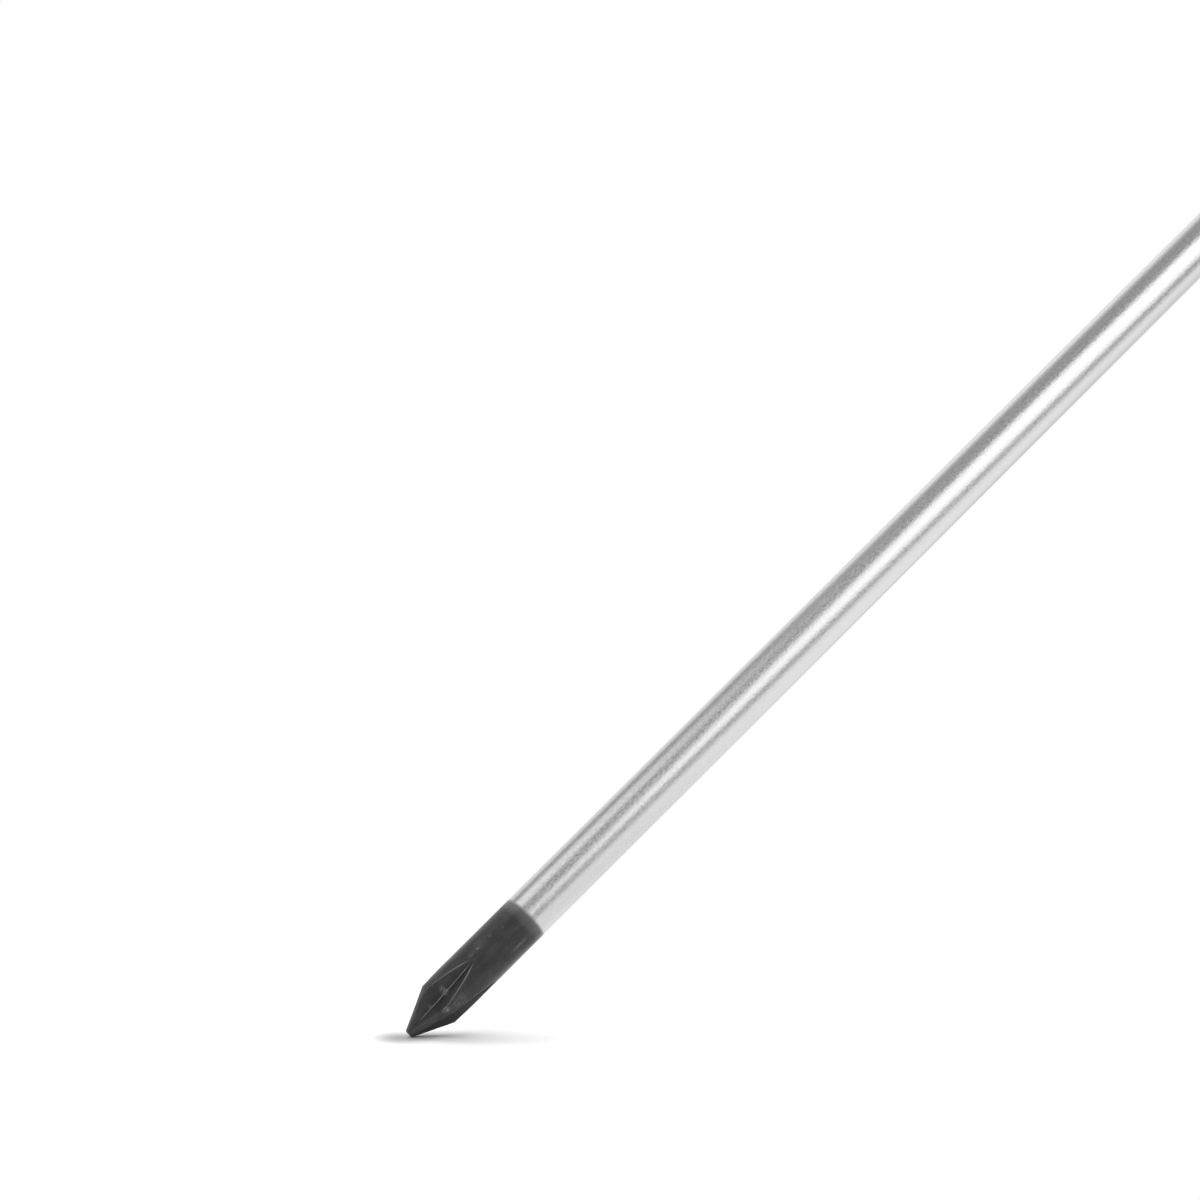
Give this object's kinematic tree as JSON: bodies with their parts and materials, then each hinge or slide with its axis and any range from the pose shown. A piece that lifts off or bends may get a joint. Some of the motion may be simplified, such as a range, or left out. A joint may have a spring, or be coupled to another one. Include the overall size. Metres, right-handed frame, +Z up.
{
  "type": "cross-head screwdriver",
  "caption": "Cross-head screwdriver: round plated blade with a blackened, fluted cross point, held in a hard-core handle with a soft fluted sleeve and an end cap.",
  "frame": {"origin": "centre of the cross point's flat end, on the tool's axis", "axes": "+X along the tool's axis from the point to the butt, +Z up as the tool lies, with one finger flute straight down"},
  "size_m": [0.31, 0.033, 0.032],
  "materials": {
    "plated_steel": "satin plate, blackened over the last 20 mm at the point",
    "hard_plastic": "moulded satin",
    "soft_grip": "fine matt texture"
  },
  "bodies": {
    "root": {"blade": "plated_steel", "handle_core": "hard_plastic", "grip_sleeve": "soft_grip", "end_cap": "hard_plastic"}
  },
  "joints": []
}
